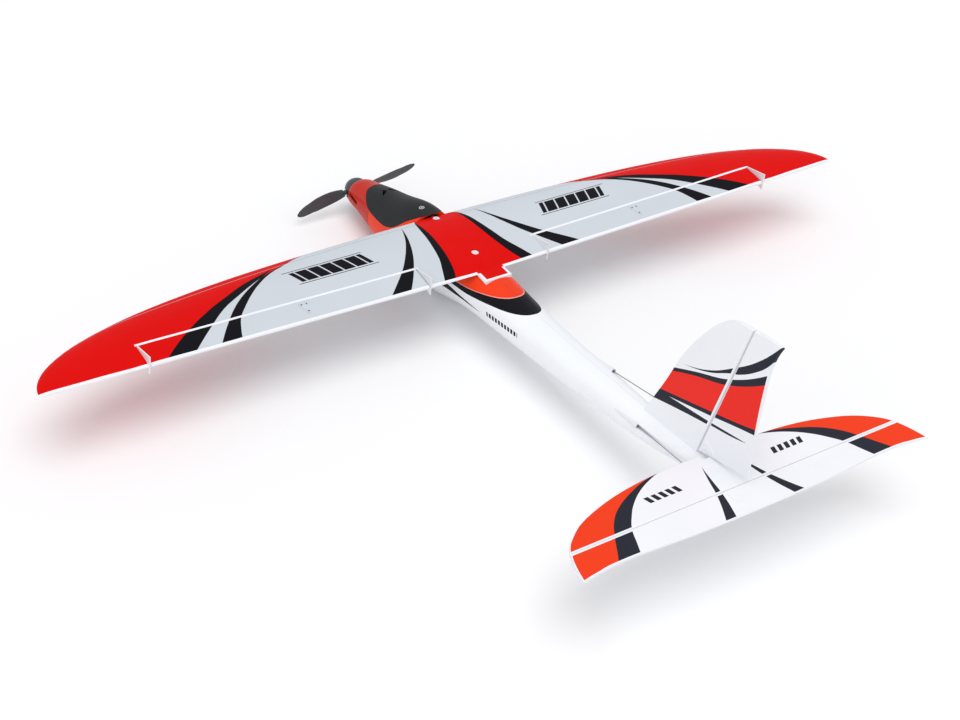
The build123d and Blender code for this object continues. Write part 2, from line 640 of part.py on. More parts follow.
def build_motor(cowl_inner):
    back = MOTOR_BASE_Y + BULKHEAD_THICK
    bulkhead = cowl_inner & box_between((-60, MOTOR_BASE_Y, -20), (60, back, 55))
    bulkhead = bulkhead - ring(MOTOR_BASE_Y - 1, back + 1, 3.6)
    bolts = []
    for i in range(4):
        angle = radians(45 + 90 * i)
        x, z = 8.0 * cos(angle), AXIS_Z + 8.0 * sin(angle)
        bulkhead = bulkhead - rod((x, MOTOR_BASE_Y - 1, z), (x, back + 1, z), 1.1)
        bolt = rod((x, back, z), (x, back + 1.6, z), 2.0) + rod((x, MOTOR_BASE_Y - 1.8, z), (x, back, z), 1.0)
        bolts.append(bolt)
    keep("motor_bulkhead", bulkhead - box_between((-9, MOTOR_BASE_Y - 1, 42), (9, back + 1, 50)))
    keep("motor_bulkhead_screws", *bolts)
    stator = ring(BELL_BACK_Y + 0.6, MOTOR_BASE_Y, 11.0) + ring(BELL_FRONT_Y + 3.4, BELL_BACK_Y + 1, 10.2)
    stator = stator - ring(BELL_FRONT_Y, MOTOR_BASE_Y + 2, SHAFT_R + RUNNING)
    for i in range(9):
        slot = box_between((7.0, BELL_FRONT_Y, -0.6), (12.0, BELL_BACK_Y + 0.2, 0.6))
        stator = stator - Pos(0, 0, AXIS_Z) * Rot(0, 40 * i, 0) * slot
    for i in range(4):
        angle = radians(45 + 90 * i)
        x, z = 8.0 * cos(angle), AXIS_Z + 8.0 * sin(angle)
        stator = stator - rod((x, MOTOR_BASE_Y - 1.9, z), (x, MOTOR_BASE_Y + 1, z), 1.0)
    keep("motor_stator", stator)
    bell = ring(BELL_FRONT_Y, BELL_BACK_Y, BELL_R, BELL_R - 1.3) + ring(BELL_FRONT_Y, BELL_FRONT_Y + 2.4, BELL_R)
    for i in range(6):
        window = box_between((5.0, BELL_FRONT_Y - 1, -1.8), (9.6, BELL_FRONT_Y + 3, 1.8))
        bell = bell - Pos(0, 0, AXIS_Z) * Rot(0, 60 * i, 0) * window
    bell = bell + ring(BLADE_PLANE_Y, MOTOR_BASE_Y - 0.5, SHAFT_R)
    keep("motor_bell", bell)


def blade_section(radius):
    """One cambered face across a blade, at a distance from the shaft."""
    t = (radius - 15.0) / (PROP_RADIUS - 15.0)
    rounding = max(0.0, radius - BLADE_ROUND_R) / (PROP_RADIUS - BLADE_ROUND_R + 0.4)
    chord = (8.0 + 34.0 * t * (1 - t) ** 1.15 + t) * sqrt(1 - rounding ** 2)
    thick = 2.6 - 1.7 * t
    pitch = atan2(100.0, 2 * pi * radius)
    sweep = 2.6 * sin(pi * t) - 3.2 * t

    def at(u, w):
        along, across = u * chord, w * thick
        return (radius, BLADE_PLANE_Y - along * sin(pitch) - across * cos(pitch),
                AXIS_Z + along * cos(pitch) - across * sin(pitch) + sweep)

    front = Edge.make_spline([at(0.5, 0.0), at(0.25, 0.6), at(-0.1, 0.6), at(-0.5, 0.12)])
    back = Edge.make_spline([at(0.5, 0.0), at(0.25, -0.25), at(-0.1, -0.2), at(-0.5, -0.12)])
    end = Edge.make_line(at(-0.5, 0.12), at(-0.5, -0.12))
    return make_face(Wire([front, end, back]))


def build_propeller():
    turn = Pos(0, 0, AXIS_Z) * Rot(0, PROP_ROLL, 0) * Pos(0, 0, -AXIS_Z)
    half_turn = Pos(0, 0, AXIS_Z) * Rot(0, 180, 0) * Pos(0, 0, -AXIS_Z)
    py, pz, pr = BLADE_PLANE_Y, AXIS_Z, BLADE_PIVOT_R
    hub = ring(py - 6.0, -356.5, 5.0)
    ears = box_between((-pr - 2.6, py - 2.8, pz - 4.6), (pr + 2.6, py + 2.8, pz + 4.6))
    hub = hub + ears
    for side in (1, -1):
        x0, x1 = sorted((side * 4.9, side * (pr + 4)))
        hub = hub - box_between((x0, py - 4, pz - 2.4), (x1, py + 4, pz + 2.4))
        hub = hub - rod((side * pr, py, pz - 6), (side * pr, py, pz + 6), 1.0)
    hub = hub - ring(py - 0.4, -350, SHAFT_R) - ring(py - 10, py, 1.0)
    pins = [rod((side * pr, py, pz - 4.9), (side * pr, py, pz + 4.9), 1.0) for side in (1, -1)]
    lug = rod((pr, py, pz - 2.1), (pr, py, pz + 2.1), 3.0)
    neck = box_between((pr, py - 2.2, pz - 2.1), (pr + 6.5, py + 2.2, pz + 2.1))
    radii = (BLADE_ROOT_R, 22.0, 29.0, 38.0, 50.0, 62.0, 72.0, 78.0, 82.0, 85.0, PROP_RADIUS)
    blade = lug + neck + loft([blade_section(r) for r in radii])
    blade = blade - rod((pr, py, pz - 4), (pr, py, pz + 4), 1.0 + RUNNING)
    blade = Pos(pr, py, pz) * Rot(0, 0, BLADE_CONE) * Pos(-pr, -py, -pz) * blade
    keep("propeller_hub", turn * hub)
    keep("blade_pins", *[turn * p for p in pins])
    keep("blade_port", turn * blade)
    keep("blade_starboard", turn * half_turn * blade)
    build_spinner(turn)


def ogive(radius, nose_y, back_y):
    """A solid of revolution on the shaft: round nose, full width at the back."""
    depth = back_y - nose_y
    outside = Spline((0, nose_y, AXIS_Z), (radius * 0.52, nose_y + depth * 0.17, AXIS_Z),
                     (radius * 0.87, nose_y + depth * 0.5, AXIS_Z), (radius, back_y, AXIS_Z),
                     tangents=((1, 0.06, 0), (0, 1, 0)))
    inside = Polyline((radius, back_y, AXIS_Z), (0, back_y, AXIS_Z), (0, nose_y, AXIS_Z))
    return revolve(make_face([outside, inside]), Axis((0, 0, AXIS_Z), (0, 1, 0)))


def build_spinner(turn):
    """A hollow cone on a back plate, slotted so that the blades can fold back."""
    cone = ogive(SPINNER_R, NOSE_Y + 0.2, SPINNER_BACK_Y)
    cone = cone - ogive(SPINNER_R - 1.3, NOSE_Y + 2.4, SPINNER_BACK_Y - 1.6)
    cone = cone - ring(SPINNER_BACK_Y - 8, SPINNER_BACK_Y + 1, 5.0)
    for side in (1, -1):
        x0, x1 = sorted((side * 5.5, side * 20))
        cone = cone - box_between((x0, BLADE_PLANE_Y - 4.0, AXIS_Z - 5.6), (x1, -350, AXIS_Z + 5.6))
    cone = cone - ring(NOSE_Y - 8, BLADE_PLANE_Y, 1.1) - ring(NOSE_Y - 8, NOSE_Y + 1.1, 2.6)
    keep("spinner", turn * cone)
    screw = ring(NOSE_Y, NOSE_Y + 1.1, 2.3) + ring(NOSE_Y + 1.1, BLADE_PLANE_Y - 2.0, 1.0)
    keep("spinner_screw", screw)


def main():
    os.makedirs("parts", exist_ok=True)
    wing = build_wing()
    aileron_linkage().build("_port")
    for name in list(nodes):
        if name.startswith("aileron") and name.endswith("_port"):
            keep(name.replace("_port", "_starboard"), mirrored(nodes[name]))
    build_fin_and_rudder()
    build_tailplane()
    elevator_linkage().build()
    rudder_linkage().build()
    inner, cowl_inner = build_fuselage()
    build_equipment(inner, wing)
    build_motor(cowl_inner)
    build_propeller()
    for name, shape in nodes.items():
        export_step(Pos(0, MID_LENGTH_SHIFT, 0) * shape, f"parts/{name}.step")


main()
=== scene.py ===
"""RC glider: finishes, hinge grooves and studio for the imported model. Metres, in the part's own frame."""
from math import cos, pi, radians, sin, sqrt

import bpy
from mathutils import Matrix, Vector


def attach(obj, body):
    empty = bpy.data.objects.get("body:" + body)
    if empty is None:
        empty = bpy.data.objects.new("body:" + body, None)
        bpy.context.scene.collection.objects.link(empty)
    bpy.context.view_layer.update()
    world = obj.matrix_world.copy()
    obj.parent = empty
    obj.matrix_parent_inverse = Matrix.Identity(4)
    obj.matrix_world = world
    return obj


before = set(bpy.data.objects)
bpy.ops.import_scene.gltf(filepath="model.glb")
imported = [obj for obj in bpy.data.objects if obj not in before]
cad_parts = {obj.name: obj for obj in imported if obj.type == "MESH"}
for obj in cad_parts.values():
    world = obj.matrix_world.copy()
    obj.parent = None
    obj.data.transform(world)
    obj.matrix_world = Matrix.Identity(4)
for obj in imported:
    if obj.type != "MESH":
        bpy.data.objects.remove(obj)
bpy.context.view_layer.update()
MM = 0.001
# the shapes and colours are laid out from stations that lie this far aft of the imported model, in mm
MID_LENGTH_SHIFT = -5.85

# ---------------------------------------------------------------- paint, linear RGB
WHITE = (0.60, 0.635, 0.68)
FOAM_WHITE = (0.86, 0.875, 0.91)
RED = (0.70, 0.003, 0.002)
ORANGE_RED = (0.86, 0.050, 0.012)
FIN_RED = (0.84, 0.028, 0.018)
COWL_RED = (0.53, 0.026, 0.015)
BLACK = (0.006, 0.006, 0.009)
TAIL_BLACK = (0.022, 0.025, 0.036)
CHARCOAL = (0.026, 0.027, 0.029)
LINE_GREY = (0.36, 0.38, 0.41)
LINE_PINK = (0.9, 0.35, 0.3)
BADGE_GREY = (0.55, 0.56, 0.58)
PLY_PALE = (0.62, 0.42, 0.22)
PLY_DARK = (0.50, 0.32, 0.16)
WRAP_BLUE = (0.02, 0.05, 0.16)
WRAP_SILVER = (0.45, 0.46, 0.5)
WEBBING = (0.02, 0.02, 0.022)
LAMINATION = (0.14, 0.12, 0.11)
COPPER = (0.55, 0.22, 0.09)
CARBON = (0.012, 0.012, 0.014)
FLOOR = (0.93, 0.93, 0.935)
SKY = (0.97, 0.98, 1.0, 1.0)


# ---------------------------------------------------------------- node building
class Field:
    """A number that varies over a surface, worked out by math nodes."""

    def __init__(self, paint, socket):
        self.paint = paint
        self.socket = socket

    def made(self, operation, *others):
        return self.paint.math(operation, self, *others)

    def __add__(self, other):
        return self.made("ADD", other)

    def __radd__(self, other):
        return self.made("ADD", other)

    def __sub__(self, other):
        return self.made("SUBTRACT", other)

    def __rsub__(self, other):
        return self.paint.math("SUBTRACT", other, self)

    def __mul__(self, other):
        return self.made("MULTIPLY", other)

    def __rmul__(self, other):
        return self.made("MULTIPLY", other)

    def __truediv__(self, other):
        return self.made("DIVIDE", other)

    def __gt__(self, other):
        return self.made("GREATER_THAN", other)

    def __lt__(self, other):
        return self.made("LESS_THAN", other)

    def __and__(self, other):
        return self.made("MINIMUM", other)

    def __or__(self, other):
        return self.made("MAXIMUM", other)

    def __invert__(self):
        return self.paint.math("SUBTRACT", 1.0, self)

    def power(self, exponent):
        return self.made("POWER", exponent)

    def size(self):
        return self.made("ABSOLUTE")

    def between(self, low, high):
        return (self > low) & (self < high)


class Paint:
    """A principled material under construction."""

    def __init__(self, name, roughness=0.4, coat=0.0, metallic=0.0, sheen=0.0, specular=0.3):
        self.material = bpy.data.materials.new(name)
        self.material.use_nodes = True
        self.tree = self.material.node_tree
        self.shader = self.tree.nodes["Principled BSDF"]
        self.shader.inputs["Roughness"].default_value = roughness
        self.shader.inputs["Metallic"].default_value = metallic
        self.shader.inputs["Coat Weight"].default_value = coat
        self.shader.inputs["Coat Roughness"].default_value = 0.12
        self.shader.inputs["Specular IOR Level"].default_value = specular
        self.shader.inputs["Sheen Weight"].default_value = sheen
        self.base_roughness = roughness
        self.place = self.node("ShaderNodeTexCoord").outputs["Object"]
        self.height = None

    def node(self, kind, **settings):
        made = self.tree.nodes.new(kind)
        for key, value in settings.items():
            setattr(made, key, value)
        return made

    def put(self, socket, value):
        if isinstance(value, Field):
            self.tree.links.new(value.socket, socket)
        elif isinstance(value, bpy.types.NodeSocket):
            self.tree.links.new(value, socket)
        else:
            socket.default_value = value

    def math(self, operation, *values):
        made = self.node("ShaderNodeMath", operation=operation)
        for socket, value in zip(made.inputs, values):
            self.put(socket, value)
        return Field(self, made.outputs[0])

    def axes(self):
        """X, Y and Z on the object, in millimetres."""
        split = self.node("ShaderNodeSeparateXYZ")
        self.put(split.inputs[0], self.place)
        x, y, z = [Field(self, s) * 1000.0 for s in split.outputs]
        return x, y - MID_LENGTH_SHIFT, z

    def curve(self, along, points):
        """A smooth curve through a few points: its value where `along` is."""
        lows = [min(p[i] for p in points) for i in (0, 1)]
        spans = [max(p[i] for p in points) - lows[i] for i in (0, 1)]
        made = self.node("ShaderNodeFloatCurve")
        line = made.mapping.curves[0]
        spots = sorted(((a - lows[0]) / spans[0], (b - lows[1]) / spans[1]) for a, b in points)
        line.points[0].location = spots[0]
        line.points[1].location = spots[-1]
        for spot in spots[1:-1]:
            line.points.new(*spot)
        made.mapping.update()
        self.put(made.inputs["Value"], (along - lows[0]) / spans[0])
        return Field(self, made.outputs[0]) * spans[1] + lows[1]

    def noise(self, scale, detail=2.0, stretch=(1, 1, 1)):
        """Soft noise from 0 to 1; scale is in features per metre."""
        warp = self.node("ShaderNodeMapping")
        warp.inputs["Scale"].default_value = stretch
        self.put(warp.inputs["Vector"], self.place)
        made = self.node("ShaderNodeTexNoise")
        made.inputs["Scale"].default_value = scale
        made.inputs["Detail"].default_value = detail
        self.put(made.inputs["Vector"], warp.outputs[0])
        return Field(self, made.outputs["Fac"])

    def cells(self, scale):
        """Distance to the middle of the nearest bead; scale is in beads per metre."""
        made = self.node("ShaderNodeTexVoronoi")
        made.inputs["Scale"].default_value = scale
        self.put(made.inputs["Vector"], self.place)
        return Field(self, made.outputs["Distance"])

    def colour(self, base, layers=(), shade=None):
        """Base colour, then a colour wherever each mask is 1; shade darkens it where it is under 1."""
        current = base
        for mask, over in layers:
            mixed = self.node("ShaderNodeMix", data_type="RGBA")
            self.put(mixed.inputs["Factor"], mask)
            for name, value in (("A", current), ("B", over)):
                socket = [s for s in mixed.inputs if s.name == name and s.type == "RGBA"][0]
                self.put(socket, value if isinstance(value, bpy.types.NodeSocket) else (*value, 1.0))
            current = [s for s in mixed.outputs if s.type == "RGBA"][0]
        if shade is not None:
            scaled = self.node("ShaderNodeVectorMath", operation="SCALE")
            if isinstance(current, bpy.types.NodeSocket):
                self.put(scaled.inputs[0], current)
            else:
                scaled.inputs[0].default_value = current
            self.put(scaled.inputs["Scale"], shade)
            current = scaled.outputs[0]
        if isinstance(current, bpy.types.NodeSocket):
            self.put(self.shader.inputs["Base Color"], current)
        else:
            self.shader.inputs["Base Color"].default_value = (*current, 1.0)

    def roughness(self, value):
        self.put(self.shader.inputs["Roughness"], value)

    def bump(self, height, depth, strength=1.0):
        """Relief: height runs from 0 to 1 over a depth in millimetres."""
        made = self.node("ShaderNodeBump")
        made.inputs["Strength"].default_value = strength
        made.inputs["Distance"].default_value = depth * MM
        self.put(made.inputs["Height"], height)
        self.put(self.shader.inputs["Normal"], made.outputs[0])


def simple(name, colour, roughness, speckle=900.0, depth=0.03, coat=0.0, metallic=0.0, vary=0.12,
           stretch=(1, 1, 1)):
    """A moulded, painted or metal finish with uneven tone, uneven gloss and fine relief."""
    paint = Paint(name, roughness, coat, metallic)
    broad = paint.noise(60.0, 3.0, stretch)
    fine = paint.noise(speckle, 2.0, stretch)
    paint.colour(colour, shade=broad * vary + (1.0 - vary / 2))
    paint.roughness(fine * 0.12 + (roughness - 0.06))
    paint.bump(fine, depth)
    return paint.material


# ---------------------------------------------------------------- wing finish
WING_TE = -79.5
TE_SWEEP = 8.3
HALF_SPAN = 550.0
ROOT_CHORD = 124.0
CHORD_TAPER = 26.0
WING_Z = 83.0
DIHEDRAL = 0.00966
HINGE_IN_X = 81.5
HINGE_IN_Y = -113.0
HINGE_LENGTH = 348.5
HINGE_SWEEP = 5.4
TAB_HALF = 18.0
THICKNESS = 0.095
CAMBER = 0.025
FENCED_X = (80.0, 431.0)
WHITE_EDGE = 3.4
HORN_PEGS = [(230.4, -107.0), (236.8, -107.0), (233.6, -96.0)]


def foam_relief(paint):
    """The slight quilting of bead foam under a printed film."""
    beads = paint.cells(420.0)
    ripple = paint.noise(55.0, 2.0)
    paint.bump(beads * 0.55 + ripple * 0.45, 0.05, 0.6)


def wing_finish(name):
    paint = Paint(name, 0.38, specular=0.05)
    x, y, z = paint.axes()
    x = x.size()
    outer_red = paint.curve(y, [(-205, 150), (-190, 205), (-176, 247), (-167, 274), (-152, 306.5),
                                (-140, 331.5), (-113, 376), (-84, 413)])
    inner_black = paint.curve(y, [(-205, 150), (-190, 205), (-185.6, 221), (-170.6, 249), (-162.7, 265.2),
                                  (-150, 289.3), (-135.3, 315.9), (-113, 344.5), (-84, 379)])
    slim_outer = paint.curve(y, [(-205, 146), (-191, 195), (-182, 219), (-170.6, 249), (-163.7, 261.5),
                                 (-151.3, 281), (-134.2, 302.8), (-112, 324.3), (-84, 347.5)])
    slim_inner = paint.curve(y, [(-205, 140), (-191.3, 192.7), (-182.6, 214), (-171.7, 239.6),
                                 (-161, 256.7), (-148, 273.6), (-130, 292.9), (-115.5, 306.3),
                                 (-100, 315), (-84, 321.6)])
    spear_in = paint.curve(y, [(-191, 51.5), (-182, 53.9), (-162, 60.4), (-138, 70.6), (-116, 83.3),
                               (-81, 109.5)])
    spear_out = paint.curve(y, [(-191, 51.5), (-166, 62.8), (-154, 69.7), (-133.6, 84.1), (-116, 98.9),
                                (-98.9, 116.8), (-81.3, 136.4)])
    centre_out = paint.curve(y, [(-200, 28.5), (-178, 34.9), (-159, 38.1), (-138, 42.2), (-119, 46.7),
                                 (-101, 54.2), (-80.6, 63.3)])
    centre_in = paint.curve(y, [(-200, 29.5), (-169, 30.6), (-148, 32.1), (-128, 34.5), (-107.5, 38.6),
                                (-94, 42.6), (-80.5, 48.6), (-60, 56)])
    top = z - x * DIHEDRAL > WING_Z - 0.4
    tip_red = x > outer_red
    wedge = (x > slim_outer) & (x < inner_black) & (y < -170.6)
    stripes = x.between(inner_black, outer_red) | x.between(slim_inner, slim_outer)
    ahead = (paint.math("MINIMUM", x, 31.0) / 31.0).power(5.0) * 15.0 - 207.0
    in_front = y > ahead
    in_edge = y > ahead + 1.3
    spear = x.between(spear_in, spear_out) & (y > -191.0) & top
    border = x.between(centre_in, centre_out) & in_front & top
    rim = (x < centre_in) & in_front & top
    panel = (x < centre_in - 0.6) & in_edge & top
    te = WING_TE - x * (TE_SWEEP / HALF_SPAN)
    hinge = HINGE_IN_Y - (x - HINGE_IN_X) * (HINGE_SWEEP / HINGE_LENGTH)
    bare = (y > te - WHITE_EDGE) & (~(x < TAB_HALF) | (y > WING_TE + 12.8) | ((x > 15.0) & (y > te)))
    groove = ((y - hinge).size() < 1.5) & x.between(*FENCED_X)
    film_front = x * x * 0.00014 - 190.0
    line = ((y - film_front).size() < 0.35) & x.between(31.0, 470.0) & top
    behind_seam = y > film_front
    letters = generic_marks(paint, x, y, top)
    pegs = [((x - px) * (x - px) + (y - py) * (y - py)) < 0.8 for px, py in HORN_PEGS]
    pegs = (pegs[0] | pegs[1] | pegs[2]) & top
    paint.colour(WHITE, [
        (tip_red | wedge, RED), (stripes & ~wedge, BLACK), (spear, BLACK), (letters, BLACK), (border, BLACK),
        (rim, BLACK), (panel, RED), (line, LINE_GREY), (groove | bare, FOAM_WHITE), (pegs, BLACK)],
        shade=paint.noise(14.0, 3.0) * 0.08 + 0.96)
    paint.roughness(0.46 - behind_seam * 0.12 + paint.noise(300.0) * 0.06)
    foam_relief(paint)
    return paint.material


def generic_marks(paint, x, y, top):
    """Plain slanted blocks where a model carries its printed markings."""
    place = x + (y + 152.0) * 0.35
    block = paint.math("WRAP", place, 20.0, 4.0)
    bars = (block < 18.0) & place.between(124.0, 218.0) & y.between(-162.0, -142.0) & top
    under = place.between(120.0, 224.0) & y.between(-139.8, -138.8) & top
    over = place.between(120.0, 224.0) & y.between(-165.2, -164.2) & top
    return bars | under | over


# ---------------------------------------------------------------- tail finishes
RUDDER_FOOT_Y = 288.6
RUDDER_FOOT_Z = 89.0
RUDDER_LEAN = 35.2 / 174.6
ELEVATOR_HINGE_Y = 356.0
TAIL_END_Y = 392.5
STAB_MID_Z = 91.5


def fin_finish(name):
    paint = Paint(name, 0.42, specular=0.07)
    _, y, z = paint.axes()
    upper_top = paint.curve(y, [(245, 171), (280, 187), (312.3, 211.8), (336, 234), (361.4, 268.6)])
    upper_low = paint.curve(y, [(245, 171), (280, 184.5), (310.5, 203.5), (318.6, 207.7), (341.5, 226.9),
                                (352, 240), (366, 268.6)])
    band_top = paint.curve(y, [(230, 157), (262, 173), (308.6, 195.1), (358.2, 234.3)])
    band_low = paint.curve(y, [(230, 152.5), (262, 168), (306.8, 186.9), (358.0, 222)])
    red_low = paint.curve(y, [(220, 122.5), (260, 134.5), (297.6, 146), (330, 155.5), (358.5, 164.8)])
    strip_low = paint.curve(y, [(220, 119), (260, 130.5), (296.6, 140.8), (330, 150.5), (358, 158)])
    wedge_top = paint.curve(y, [(235.8, 122.5), (296.6, 140.4)])
    wedge_low = paint.curve(y, [(235.8, 122.5), (294.3, 132.5)])
    block_low = paint.curve(y, [(214, 106.5), (255, 118), (293.9, 127.8)])
    small_top = paint.curve(y, [(303.7, 134.4), (347.7, 142.0)])
    small_low = paint.curve(y, [(303.7, 131.2), (330, 136.6), (347.7, 141.8)])
    hinge = RUDDER_FOOT_Y + (z - RUDDER_FOOT_Z) * RUDDER_LEAN
    behind = y > hinge
    upper = z.between(upper_low, upper_top) & (y > 246.0)
    band = z.between(band_low, band_top)
    red = (z < band_low) & (z > red_low)
    strip = z.between(strip_low, red_low)
    block = z.between(block_low, strip_low) & ~behind
    wedge = z.between(wedge_low, wedge_top) & ~behind & (y > 235.8)
    small = z.between(small_low, small_top) & behind & (y < 347.5)
    groove = (y - hinge).size() < 2.6
    trailing = paint.curve(z, [(106, 360.5), (165, 356.5), (216, 354.8), (237, 355.2), (252, 357.5),
                               (267, 363)])
    edge = (y > trailing - 1.6) & ~upper
    paint.colour(FOAM_WHITE, [
        (upper | band | strip | block | small, TAIL_BLACK), (wedge, FOAM_WHITE), (red, FIN_RED),
        (groove | edge, FOAM_WHITE)], shade=paint.noise(16.0, 3.0) * 0.06 + 0.97)
    paint.roughness(paint.noise(260.0) * 0.08 + 0.38)
    foam_relief(paint)
    return paint.material


def tailplane_finish(name):
    paint = Paint(name, 0.42, specular=0.07)
    x, y, z = paint.axes()
    x = x.size()
    outer = paint.curve(y, [(296, 40), (299.6, 58), (304, 82), (312, 108), (326, 137), (340, 153.5),
                            (356, 165.3), (374, 176.5), (392, 188)])
    inner = paint.curve(y, [(296, 40), (299.6, 57), (305, 76), (314, 98), (328, 119), (342, 133),
                            (356, 143.8), (374, 152), (392, 160)])
    spear_out = paint.curve(y, [(316.4, 21.1), (336, 28.5), (356, 35.4), (392, 53.5)])
    spear_in = paint.curve(y, [(316.4, 21.1), (336, 25), (356, 28.7), (392, 39.8)])
    red = x > outer
    black = x.between(inner, outer) | (x.between(spear_in, spear_out) & (y > 316.4))
    groove = (y - ELEVATOR_HINGE_Y).size() < 2.4
    trailing = paint.curve(x, [(0, TAIL_END_Y), (50, 392.2), (105, 390.3), (158, 387), (184, 386.8),
                               (207, 388.8), (230.5, TAIL_END_Y)])
    tip = paint.curve(y, [(326.5, 185), (338, 203), (349.5, 215), (362, 221.5), (376, 226.5),
                          (TAIL_END_Y, 230.5)])
    edge = (y > trailing - 1.8) | ((x > tip - 1.3) & (y > 330.0))
    low = z < STAB_MID_Z
    marks = small_marks(paint, x, y)
    paint.colour(FOAM_WHITE, [(red, ORANGE_RED), (black | marks, TAIL_BLACK),
                              (groove | edge | low, FOAM_WHITE)], shade=paint.noise(16.0, 3.0) * 0.06 + 0.97)
    paint.roughness(paint.noise(260.0) * 0.08 + 0.38)
    foam_relief(paint)
    return paint.material


def small_marks(paint, x, y):
    """A row of short slanted bars on each half of the tailplane."""
    lean = y * 0.3
    place = x + lean
    block = paint.math("WRAP", place, 9.0, 0.0)
    return (block < 5.6) & place.between(162.0, 207.0) & y.between(326.0, 335.0)


# ---------------------------------------------------------------- body finishes
COWL_RIM_Y = -356.6
FAIRING_END_Y = -22.0
BORDER_END_Y = 15.0
BATTERY_BANDS = ((-262.0, -254.0), (-222.0, -216.0))
CELL_HEIGHT = 7.3
WINDING_YS = (-347.0, -334.0)
BADGE_PLACE = (4.8, -218.0)


def body_finish(name):
    paint = Paint(name, 0.36, coat=0.02, specular=0.1)
    x, y, z = paint.axes()
    tongue = paint.curve(y, [(-290, -10), (-262, 10), (-235, 32), (-200, 48), (-150, 57), (-96, 63.5),
                             (-78, 66.8), (-62, 70.6), (-47, 74.4), (-34, 78.1), (-25, 81.2), (-18, 86)])
    border = paint.curve(y, [(-290, -16), (-262, 2), (-235, 22), (-200, 38), (-150, 50), (-106, 55.9),
                             (-86, 58), (-63, 62.4), (-41, 67), (-22, 70.9), (-4, 75.3), (9.7, 79.6),
                             (20, 84)])
    spear_top = paint.curve(y, [(-200, 36), (-150, 47.5), (-113, 49.9), (-92, 49.4), (-76, 49.4),
                                (-53.6, 49.3)])
    spear_low = paint.curve(y, [(-200, 24), (-150, 37.5), (-122, 42.2), (-107, 44.1), (-92, 46),
                                (-76, 47.4), (-53.6, 49.2)])
    red = (z > tongue) & (y < FAIRING_END_Y)
    black = (z > border) & ((z < tongue) | (y > FAIRING_END_Y)) & (y < BORDER_END_Y)
    spear = z.between(spear_low, spear_top) & (y < -53.8)
    rim = ((z - tongue).size() < 0.35) & y.between(-110.0, FAIRING_END_Y)
    marks = side_marks(paint, y, z)
    seam = x.size() < 0.25
    paint.colour(FOAM_WHITE, [(black | spear | marks, BLACK), (red, ORANGE_RED), (rim, LINE_PINK)],
                 shade=(paint.noise(16.0, 3.0) * 0.06 + 0.97) - seam * 0.16)
    paint.roughness(paint.noise(260.0) * 0.08 + 0.33)
    foam_relief(paint)
    return paint.material


def side_marks(paint, y, z):
    """Slanted bars along the boom's side."""
    lean = z * 0.3
    place = y + lean
    middle = 54.6 + (y + 44.0) * 0.075
    block = paint.math("WRAP", place, 5.6, 0.0)
    return (block < 3.6) & place.between(-27.0, 29.0) & ((z - middle).size() < 2.6)


def cowl_finish(name):
    paint = Paint(name, 0.34, coat=0.04, specular=0.12)
    y = paint.axes()[1]
    rim = y < COWL_RIM_Y
    paint.colour(COWL_RED, [(rim, BLACK)], shade=paint.noise(30.0, 3.0) * 0.14 + 0.93)
    paint.roughness(paint.noise(420.0) * 0.14 + 0.3)
    foam_relief(paint)
    return paint.material


def hatch_finish(name):
    paint = Paint(name, 0.5, specular=0.08)
    x, y, z = paint.axes()
    across, along = x - BADGE_PLACE[0], y - BADGE_PLACE[1]
    spread = (across * across + along * along).power(0.5)
    badge = (spread.between(2.2, 3.3) | (spread < 1.1)) & (z > 70.0)
    paint.colour(CHARCOAL, [(badge, BADGE_GREY)], shade=paint.noise(24.0, 3.0) * 0.25 + 0.88)
    paint.roughness(paint.noise(500.0) * 0.14 + 0.43)
    paint.bump(paint.noise(900.0, 2.0) * 0.5 + paint.cells(420.0) * 0.5, 0.05, 0.7)
    return paint.material


def plywood_finish(name):
    paint = Paint(name, 0.6)
    grain = paint.noise(140.0, 4.0, (1.0, 0.08, 1.0))
    paint.colour(PLY_PALE, [(grain > 0.56, PLY_DARK)], shade=grain * 0.3 + 0.82)
    paint.bump(grain, 0.06)
    return paint.material


def battery_finish(name):
    paint = Paint(name, 0.3, coat=0.4)
    _, y, z = paint.axes()
    band = y.between(*BATTERY_BANDS[0]) | y.between(*BATTERY_BANDS[1])
    cells = paint.math("WRAP", z, CELL_HEIGHT, 0.0)
    paint.colour(WRAP_BLUE, [(band, WRAP_SILVER)], shade=paint.noise(60.0, 3.0) * 0.2 + 0.88)
    paint.bump((cells - CELL_HEIGHT / 2).size() / (CELL_HEIGHT / 2) * 0.5 + paint.noise(120.0) * 0.5, 0.25)
    return paint.material


def strap_finish(name):
    paint = Paint(name, 0.85, sheen=0.4)
    x, y, z = paint.axes()
    weave = paint.math("SINE", y * 5.0) * paint.math("SINE", (x + z) * 5.0)
    paint.colour(WEBBING, shade=weave * 0.25 + 0.9)
    paint.bump(weave * 0.5 + 0.5, 0.15)
    return paint.material


def windings_finish(name):
    paint = Paint(name, 0.38, metallic=0.6)
    y = paint.axes()[1]
    layers = paint.math("SINE", y * 9.0)
    paint.colour(LAMINATION, [(y.between(*WINDING_YS), COPPER)], shade=layers * 0.15 + 0.9)
    paint.bump(layers * 0.5 + 0.5, 0.12)
    return paint.material


def carbon_finish(name):
    paint = Paint(name, 0.3, coat=0.4)
    fibre = paint.noise(900.0, 2.0, (0.05, 1.0, 1.0))
    paint.colour(CARBON, shade=fibre * 0.8 + 0.6)
    paint.bump(fibre, 0.03)
    return paint.material


